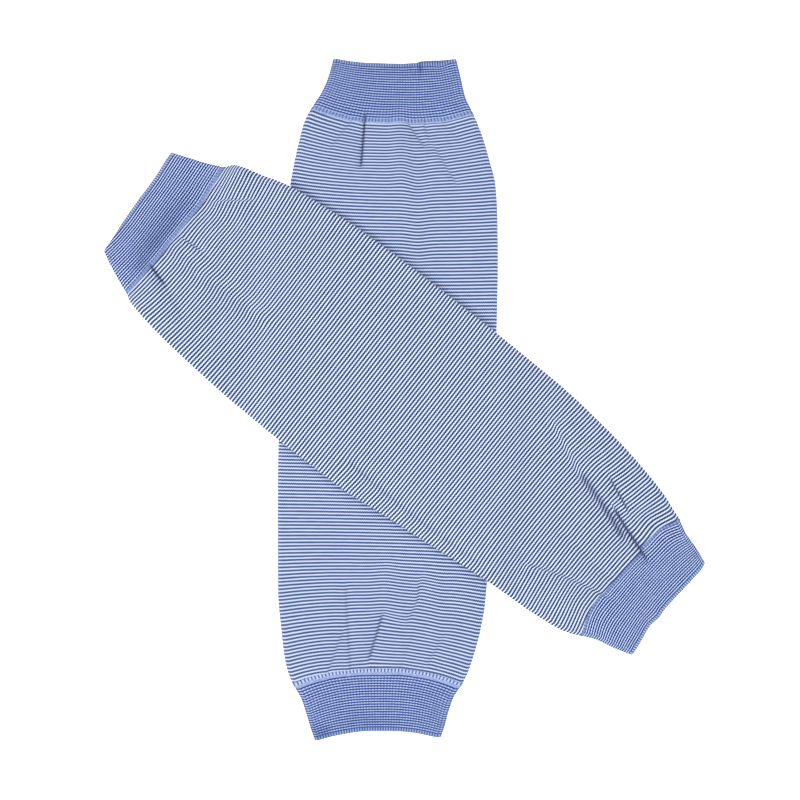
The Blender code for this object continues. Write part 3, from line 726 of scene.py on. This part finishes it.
class Nodes:
    """Short calls that add shader nodes to one material."""

    def __init__(self, name):
        self.material = bpy.data.materials.new(name)
        self.material.use_nodes = True
        self.tree = self.material.node_tree
        self.tree.nodes.clear()

    def link(self, value, socket):
        """Give a socket its value: a number, a colour or another node's output."""
        if isinstance(value, bpy.types.NodeSocket):
            self.tree.links.new(value, socket)
        else:
            socket.default_value = value

    def math(self, operation, a, b=0.0, c=0.0, clamp=False):
        """One sum, by the name that a math node has for it."""
        node = self.tree.nodes.new("ShaderNodeMath")
        node.operation = operation
        node.use_clamp = clamp
        for value, socket in zip((a, b, c), node.inputs):
            self.link(value, socket)
        return node.outputs[0]

    def mix(self, share, a, b):
        """From colour a to colour b as share goes from 0 to 1."""
        node = self.tree.nodes.new("ShaderNodeMix")
        node.data_type = "RGBA"
        self.link(share, node.inputs[0])
        self.link(a, node.inputs[6])
        self.link(b, node.inputs[7])
        return node.outputs[2]

    def scale(self, colour, share):
        """A colour at a share of its brightness."""
        node = self.tree.nodes.new("ShaderNodeMix")
        node.data_type = "RGBA"
        node.blend_type = "MULTIPLY"
        node.inputs[0].default_value = 1.0
        self.link(colour, node.inputs[6])
        grey = self.tree.nodes.new("ShaderNodeCombineColor")
        for socket in grey.inputs:
            self.link(share, socket)
        self.link(grey.outputs[0], node.inputs[7])
        return node.outputs[2]

    def knit(self):
        """The column of stitches and the row that a point lies in."""
        node = self.tree.nodes.new("ShaderNodeUVMap")
        node.uv_map = "Knit"
        split = self.tree.nodes.new("ShaderNodeSeparateXYZ")
        self.link(node.outputs[0], split.inputs[0])
        return split.outputs[0], split.outputs[1]

    def value(self, name):
        """A number that the mesh holds for each point."""
        node = self.tree.nodes.new("ShaderNodeAttribute")
        node.attribute_name = name
        return node.outputs["Fac"]

    def noise(self, x, y, scale, detail):
        """Soft specks, about 0.5 on average."""
        joined = self.tree.nodes.new("ShaderNodeCombineXYZ")
        self.link(x, joined.inputs[0])
        self.link(y, joined.inputs[1])
        node = self.tree.nodes.new("ShaderNodeTexNoise")
        self.link(joined.outputs[0], node.inputs["Vector"])
        node.inputs["Scale"].default_value = scale
        node.inputs["Detail"].default_value = detail
        return node.outputs["Fac"]

    def ramp(self, value, low, high):
        """0 where value is low and 1 where it is high, with soft ends."""
        node = self.tree.nodes.new("ShaderNodeMapRange")
        node.interpolation_type = "SMOOTHSTEP"
        self.link(value, node.inputs[0])
        self.link(low, node.inputs[1])
        self.link(high, node.inputs[2])
        return node.outputs[0]

    def aside(self, column):
        """0 in the middle of a column of stitches and 1 at its sides."""
        off = self.math("SUBTRACT", self.math("FRACT", column), 0.5)
        return self.math("MULTIPLY", self.math("ABSOLUTE", off), 2.0)

    def stitches(self, column, pair, spread, stray, lean):
        """How far aside a point lies in its column, and its count of courses.

        A course strays by up to half of stray pairs of courses, more slowly for a small spread,
        and lies lean courses farther at the sides of a column than in its middle.
        """
        leg = self.aside(column)
        drift = self.noise(self.math("MULTIPLY", column, spread), pair, scale=0.9, detail=3.0)
        wander = self.math("MULTIPLY", self.math("SUBTRACT", drift, 0.5), stray)
        course = self.math("MULTIPLY", self.math("ADD", pair, wander), 2.0)
        return leg, self.math("ADD", course, self.math("MULTIPLY", leg, lean))

    def wave(self, course):
        """1 in the middle of a white course and -1 in the middle of a blue one."""
        return self.math("SINE", self.math("MULTIPLY", course, math.pi))

    def fibre(self, column, pair, fineness):
        """The yarn's own fine unevenness."""
        return self.noise(self.math("MULTIPLY", column, fineness),
                          self.math("MULTIPLY", pair, FIBRE_FINENESS), scale=1.7, detail=4.0)

    def less(self, value, amount):
        """1 less amount times value."""
        return self.math("MULTIPLY_ADD", value, -amount, 1.0)

    def varied(self, value, amount):
        """1 on average, and amount from its least to its most."""
        return self.math("MULTIPLY_ADD", value, amount, 1.0 - amount / 2.0)

    def bulge(self, share):
        """1 where share is a half, and 0 where it is 0 or 1."""
        off = self.math("SUBTRACT", self.math("MULTIPLY", share, 2.0), 1.0)
        return self.math("SUBTRACT", 1.0, self.math("MULTIPLY", off, off))

    def creased(self, colour, depth):
        """A colour with the painted shade of the creases' lines over it."""
        share = self.math("MULTIPLY", self.value("crease"), depth)
        return self.mix(share, colour, CREASE_PAINTED_SHADE)

    def finish(self, colour, height, distance):
        """The material of yarn, with height as relief of distance metres."""
        bump = self.tree.nodes.new("ShaderNodeBump")
        bump.inputs["Distance"].default_value = distance
        bump.inputs["Strength"].default_value = BUMP_STRENGTH
        self.link(height, bump.inputs["Height"])
        shader = self.tree.nodes.new("ShaderNodeBsdfPrincipled")
        self.link(colour, shader.inputs["Base Color"])
        shader.inputs["Roughness"].default_value = YARN_ROUGHNESS
        shader.inputs["Specular IOR Level"].default_value = YARN_SPECULAR
        shader.inputs["Sheen Weight"].default_value = YARN_SHEEN
        shader.inputs["Sheen Roughness"].default_value = SHEEN_ROUGHNESS
        self.link(bump.outputs[0], shader.inputs["Normal"])
        out = self.tree.nodes.new("ShaderNodeOutputMaterial")
        self.link(shader.outputs[0], out.inputs[0])
        return self.material


def jersey(name, blue, lightest):
    """Stockinette: each wale is a column of Vs, and blue and white courses take turns.

    lightest is how near to white yarn the white courses get.
    """
    n = Nodes(name)
    wale, pair = n.knit()
    leg, course = n.stitches(wale, pair, spread=0.15, stray=0.16, lean=0.40)
    white = n.ramp(n.wave(course), low=-0.06, high=0.54)
    # Less white in the darker patches and the painted shadow, more in the painted highlight.
    white = n.math("MULTIPLY", white, n.less(n.value("patch_and_painted_light"), JERSEY_PATCH))
    white = n.math("MULTIPLY", white, lightest)
    relief = n.math("MULTIPLY", n.bulge(n.math("FRACT", course)), COURSE_RELIEF)
    relief = n.math("MULTIPLY_ADD", n.bulge(leg), LEG_RELIEF, relief)
    fibre = n.fibre(wale, pair, fineness=3.0)
    # Painted shade between the stitches, times the fibre's own unevenness.
    painted_shade_and_fibre = n.math("MULTIPLY_ADD", relief, STITCH_PAINTED_SHADE, 1.0 - STITCH_PAINTED_SHADE)
    painted_shade_and_fibre = n.math("MULTIPLY", painted_shade_and_fibre, n.varied(fibre, FIBRE_SHADE))
    colour = n.scale(n.mix(white, blue, WHITE_YARN), painted_shade_and_fibre)
    height = n.math("MULTIPLY_ADD", fibre, FIBRE_RELIEF, relief)
    return n.finish(n.creased(colour, JERSEY_CREASE_SHADE), height, JERSEY_BUMP)


def rib_knit(name, blue, low, high, plain, crested):
    """One-and-one rib: raised wales with sunken ones between, and fine blue and white rows.

    low and high are where a row's wave turns from blue to white, and plain and crested are how
    white the rows get in a groove and how much whiter on a crest. The open edge has ribs and no
    rows.
    """
    n = Nodes(name)
    rib, pair = n.knit()
    leg, course = n.stitches(rib, pair, spread=0.3, stray=0.22, lean=0.35)
    crest = n.ramp(leg, low=0.78, high=0.30)
    row = n.ramp(n.wave(course), low, high)
    edge = n.ramp(pair, low=1.7, high=1.1)
    at_edge = n.math("MULTIPLY_ADD", crest, EDGE_CREST_WHITE, EDGE_WHITE)
    row = n.math("ADD", n.math("MULTIPLY", row, n.less(edge, 1.0)),
                 n.math("MULTIPLY", at_edge, edge))
    white = n.math("MULTIPLY", row, n.math("MULTIPLY_ADD", crest, crested, plain))
    speck = n.noise(rib, n.math("MULTIPLY", pair, 1.6), scale=1.1, detail=2.0)
    white = n.math("MULTIPLY", white, n.varied(speck, RIB_SPECKS))
    # Less white in the darker patches and the painted shadow, more in the painted highlight.
    white = n.math("MULTIPLY", white, n.less(n.value("patch_and_painted_light"), RIB_PATCH))
    fibre = n.fibre(rib, pair, fineness=5.0)
    # Painted shade in the grooves between the ribs, times the fibre's own unevenness.
    painted_shade_and_fibre = n.math("MULTIPLY_ADD", crest, GROOVE_PAINTED_SHADE, 1.0 - GROOVE_PAINTED_SHADE)
    painted_shade_and_fibre = n.math("MULTIPLY", painted_shade_and_fibre, n.varied(fibre, FIBRE_SHADE))
    colour = n.scale(n.mix(white, blue, CUFF_WHITE), painted_shade_and_fibre)
    height = n.math("MULTIPLY", n.bulge(n.math("FRACT", course)), RIB_COURSE_RELIEF)
    height = n.math("MULTIPLY_ADD", fibre, FIBRE_RELIEF, height)
    return n.finish(n.creased(colour, RIB_CREASE_SHADE), height, RIB_BUMP)


def linking_knit(name, ticks, low, high, zone_shade, rest_shade):
    """The linking: a pale band whose stitches have dark ticks between them from low to high.

    zone_shade is how blue that stretch is, and rest_shade how blue the remaining band is.
    """
    n = Nodes(name)
    stitch, reach = n.knit()
    gap = n.ramp(n.aside(stitch), low=0.40, high=0.84)
    within = n.math("MULTIPLY", n.ramp(reach, low - TICK_BLUR, low + TICK_BLUR),
                    n.ramp(reach, high + TICK_BLUR, high - TICK_BLUR))
    speck = n.noise(stitch, reach, scale=1.3, detail=3.0)
    share = n.math("MULTIPLY_ADD", gap, ticks, zone_shade - rest_shade)
    share = n.math("MULTIPLY_ADD", share, within, rest_shade)
    uneven = n.math("MULTIPLY", n.math("SUBTRACT", speck, 0.5), LINK_SPECKS)
    share = n.math("ADD", share, uneven, clamp=True)
    colour = n.creased(n.mix(share, LINK_WHITE, LINK_BLUE), RIB_CREASE_SHADE)
    return n.finish(colour, speck, LINK_BUMP)


LOWER_JERSEY = jersey("lower_jersey_knit", LOWER_BLUE, lightest=0.82)
UPPER_JERSEY = jersey("upper_jersey_knit", UPPER_BLUE, lightest=1.0)
LOWER_RIB = rib_knit("lower_ribbed_rows", LOWER_CUFF_BLUE, low=-0.7, high=0.95, plain=0.45,
                     crested=0.28)
UPPER_RIB = rib_knit("upper_ribbed_rows", UPPER_CUFF_BLUE, low=-0.05, high=0.55, plain=0.76,
                     crested=0.18)
TOP_LINKING = linking_knit("top_linking_stitches", ticks=0.40, low=-0.2, high=2.0,
                           zone_shade=0.56, rest_shade=0.40)
BOTTOM_LINKING = linking_knit("bottom_linking_stitches", ticks=1.0, low=-1.9, high=0.1,
                              zone_shade=0.14, rest_shade=0.50)
LEFT_LINKING = linking_knit("left_linking_stitches", ticks=0.22, low=-2.5, high=2.5,
                            zone_shade=0.60, rest_shade=0.60)
RIGHT_LINKING = linking_knit("right_linking_stitches", ticks=0.30, low=-2.5, high=2.5,
                             zone_shade=0.62, rest_shade=0.62)


def stripe_drift(sleeve, count, way):
    """How much farther along a stripe lies than the row of its count."""
    left, middle, right = at_row(sleeve["stripes"], count)
    return middle + 0.5 * (right - left) * way + (0.5 * (left + right) - middle) * way * way


def body_uv(sleeve):
    """A body's wales round it, and its pairs of courses from its first seam."""
    first = sleeve["seams"][0]

    def to_uv(turn, count):
        drift = stripe_drift(sleeve, count, way_across(turn))
        return turn * WALES, (count - first - drift) / PAIR_PITCH
    return to_uv


def cuff_uv(edge_count, seam, pitch, corner):
    """A cuff's ribs round it, and its rows from the open edge.

    At its left end the rows run out over the open edge, by corner.
    """
    def to_uv(turn, count):
        past_start = np.clip(-way_across(turn) - CORNER_START, 0.0, 1.0)
        outward = (past_start / (1.0 - CORNER_START)) ** CORNER_POWER
        from_seam = np.abs(count - seam) / abs(edge_count - seam)
        from_edge = np.abs(count - edge_count) + corner * outward * from_seam
        return turn * RIB_COUNT, from_edge / pitch
    return to_uv


def rib_wave(turn):
    """0 in a groove and 1 on the crest of a rib."""
    return 0.5 + 0.5 * np.cos(2.0 * math.pi * (turn * RIB_COUNT - 0.5))


def rib_relief(seam):
    """The ribs' height: round crests with sharper grooves, lower at the join."""
    def relief(count, turn):
        risen = ease((np.abs(count - seam) - LINK_REACH) / RIB_FADE)
        height = RIB_HEIGHT * (RIB_AT_JOIN + (1.0 - RIB_AT_JOIN) * risen)
        return height * rib_wave(turn) ** RIB_SHARPNESS
    return relief


def rib_room(count):
    """A cuff's underside is lifted so that its ribs stand on the surface."""
    return np.full(np.shape(count), RIB_HEIGHT)


def seam_room(seams):
    """A body's underside rises to the linking beside each seam."""
    def room(count):
        away = np.minimum(np.abs(count - seams[0]), np.abs(count - seams[1]))
        return RIB_HEIGHT * (1.0 - ease((away - SEAM_EASE[0]) / (SEAM_EASE[1] - SEAM_EASE[0])))
    return room


def build_sleeve(sleeve, jersey_knit, ribs, names, nodes):
    """A sleeve's body and its first and last cuff, each with the solid that it replaces."""
    body_name, first_name, last_name = names
    body_node, first_node, last_node = nodes
    seams = sleeve["seams"]
    last_edge = sleeve["rows"]["count"][-1]
    near = SEAM_GAP / 2.0
    steps = int(round((seams[1] - seams[0]) / BODY_ROW))
    counts = np.linspace(seams[0] + near, seams[1] - near, steps + 1)
    inner = np.linspace(seams[0] + near, seams[1] - near, BODY_INNER_ROWS)
    body = shell(body_name, sleeve, sleeve["body"], counts, turns_of(BODY_TOP, BODY_UNDER), inner,
                 turns_of(BODY_INNER, BODY_INNER_UNDER), body_uv(sleeve), jersey_knit,
                 room=seam_room(seams))
    pieces = [(body, body_node)]
    for name, key, a, b, edge, seam, pitch, corner, node in (
            (first_name, "cuff_first", 0.0, seams[0] - near, 0.0, seams[0],
             sleeve["cuff_pitches"][0], sleeve["corner_drift"], first_node),
            (last_name, "cuff_last", seams[1] + near, last_edge, last_edge, seams[1],
             sleeve["cuff_pitches"][1], 0.0, last_node)):
        counts = np.linspace(a, b, int(round((b - a) / CUFF_ROW)) + 1)
        inner = np.linspace(a, b, CUFF_INNER_ROWS)
        cuff = shell(name, sleeve, sleeve[key], counts, RIBBED_TURNS, inner, LINING_TURNS,
                     cuff_uv(edge, seam, pitch, corner), ribs, rib=rib_relief(seam), room=rib_room)
        pieces.append((cuff, node))
    return pieces


def joined(first, second):
    """Two outlines that meet at a seam, as one."""
    return {key: np.concatenate([first[key][:-1], second[key]]) for key in first}


def linking(name, sleeve, seam, outline, to_cuff, below, over, material):
    """The band of linking stitches over a join, one round stitch for each rib.

    It reaches below the seam onto the body, and over it onto the cuff. to_cuff is 1 where the
    cuff lies farther along than the seam, and -1 where it lies before it.
    """
    def relief(count, turn):
        reach = (count - seam) * to_cuff
        part = np.clip((reach + below) / (below + over), 0.0, 1.0)
        dome = np.sin(math.pi * part) ** LINK_SQUARENESS
        return LINK_EDGE + dome * (LINK_DOME + LINK_STITCH * rib_wave(turn))

    def to_uv(turn, count):
        return turn * RIB_COUNT, (count - seam) * to_cuff

    ends = np.sort(seam + to_cuff * np.array([-below, over]))
    return shell(name, sleeve, outline, np.linspace(*ends, LINK_ROWS), RIBBED_TURNS,
                 np.linspace(*ends, LINK_INNER_ROWS), LINING_TURNS, to_uv, material,
                 rib=relief, room=rib_room, insets=(-LINK_LIFT, -LINK_BACK))


cloth = []
cloth += build_sleeve(
    UNDER, LOWER_JERSEY, LOWER_RIB,
    names=("lower_sleeve_body", "lower_sleeve_top_cuff", "lower_sleeve_bottom_cuff"),
    nodes=("under_body", "under_cuff_top", "under_cuff_bottom"))
cloth += build_sleeve(
    OVER, UPPER_JERSEY, UPPER_RIB,
    names=("upper_sleeve_body", "upper_sleeve_left_cuff", "upper_sleeve_right_cuff"),
    nodes=("over_body", "over_cuff_left", "over_cuff_right"))

# Each band's name, sleeve, to_cuff, below, over and material.
LINKS = (
    ("lower_top_linking", UNDER, -1.0, 0.9, 1.7, TOP_LINKING),
    ("lower_bottom_linking", UNDER, 1.0, 1.6, 1.6, BOTTOM_LINKING),
    ("upper_left_linking", OVER, -1.0, 0.9, 1.4, LEFT_LINKING),
    ("upper_right_linking", OVER, 1.0, 1.0, 0.4, RIGHT_LINKING))
links = []
for name, tube, to_cuff, below, over, material in LINKS:
    if to_cuff < 0.0:
        seam, outline = tube["seams"][0], joined(tube["cuff_first"], tube["body"])
    else:
        seam, outline = tube["seams"][1], joined(tube["body"], tube["cuff_last"])
    links.append(linking(name, tube, seam, outline, to_cuff, below, over, material))

# Each piece hangs from the root, and the solid that it replaces is hidden.
for piece, node in cloth:
    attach(piece, "root")
    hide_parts(node)
for piece in links:
    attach(piece, "root")

# The table, the light and the camera, in metres.
PAGE_WIDTH = 0.4464        # what the photograph's frame spans
FOCUS_HEIGHT = 0.003       # of the cloth that it was measured at
CAMERA_HEIGHT = 1.7
SENSOR_MM = 36.0
FLOOR_DROP = 0.0002
FLOOR_HALF = 6.0
FLOOR_GREY = 0.95
FLOOR_GLOW = 0.9


def floor():
    """A plain white table top under the sleeves."""
    n = Nodes("white_table")
    shader = n.tree.nodes.new("ShaderNodeBsdfPrincipled")
    shader.inputs["Base Color"].default_value = (FLOOR_GREY, FLOOR_GREY, FLOOR_GREY, 1.0)
    shader.inputs["Roughness"].default_value = 0.9
    shader.inputs["Emission Color"].default_value = (1.0, 1.0, 1.0, 1.0)
    shader.inputs["Emission Strength"].default_value = FLOOR_GLOW
    out = n.tree.nodes.new("ShaderNodeOutputMaterial")
    n.link(shader.outputs[0], out.inputs[0])
    corners = [(x * FLOOR_HALF, y * FLOOR_HALF, -FLOOR_DROP)
               for x, y in ((-1, -1), (1, -1), (1, 1), (-1, 1))]
    mesh = bpy.data.meshes.new("table")
    mesh.from_pydata(corners, [], [(0, 1, 2, 3)])
    mesh.materials.append(n.material)
    table_top = bpy.data.objects.new("table_top", mesh)
    bpy.context.scene.collection.objects.link(table_top)


def lamp(name, place, size, power):
    """A round soft light that faces the middle of the pair."""
    light = bpy.data.lights.new(name, "AREA")
    light.shape = "DISK"
    light.size = size
    light.energy = power
    thing = bpy.data.objects.new(name, light)
    thing.location = place
    to = -np.array(place)
    to /= np.linalg.norm(to)
    thing.rotation_euler = (math.acos(-to[2]), 0.0, math.atan2(to[1], to[0]) - math.pi / 2.0)
    bpy.context.scene.collection.objects.link(thing)


floor()
lamp("soft_key", place=(-1.3, -1.5, 1.9), size=1.6, power=37.0)
lamp("soft_fill", place=(1.2, 1.0, 2.2), size=2.4, power=13.0)
world = bpy.data.worlds.new("studio")
world.use_nodes = True
world.node_tree.nodes["Background"].inputs["Color"].default_value = (1.0, 1.0, 1.0, 1.0)
world.node_tree.nodes["Background"].inputs["Strength"].default_value = 1.0
bpy.context.scene.world = world
bpy.context.scene.view_settings.view_transform = "Standard"

camera_data = bpy.data.cameras.new("camera")
camera_data.sensor_width = SENSOR_MM
camera_data.lens = SENSOR_MM * (CAMERA_HEIGHT - FOCUS_HEIGHT) / PAGE_WIDTH
camera_data.clip_end = 20.0
camera = bpy.data.objects.new("camera", camera_data)
camera.location = (-LAYOUT_CENTRE[0] * MM, -LAYOUT_CENTRE[1] * MM, CAMERA_HEIGHT)
bpy.context.scene.collection.objects.link(camera)
bpy.context.scene.camera = camera
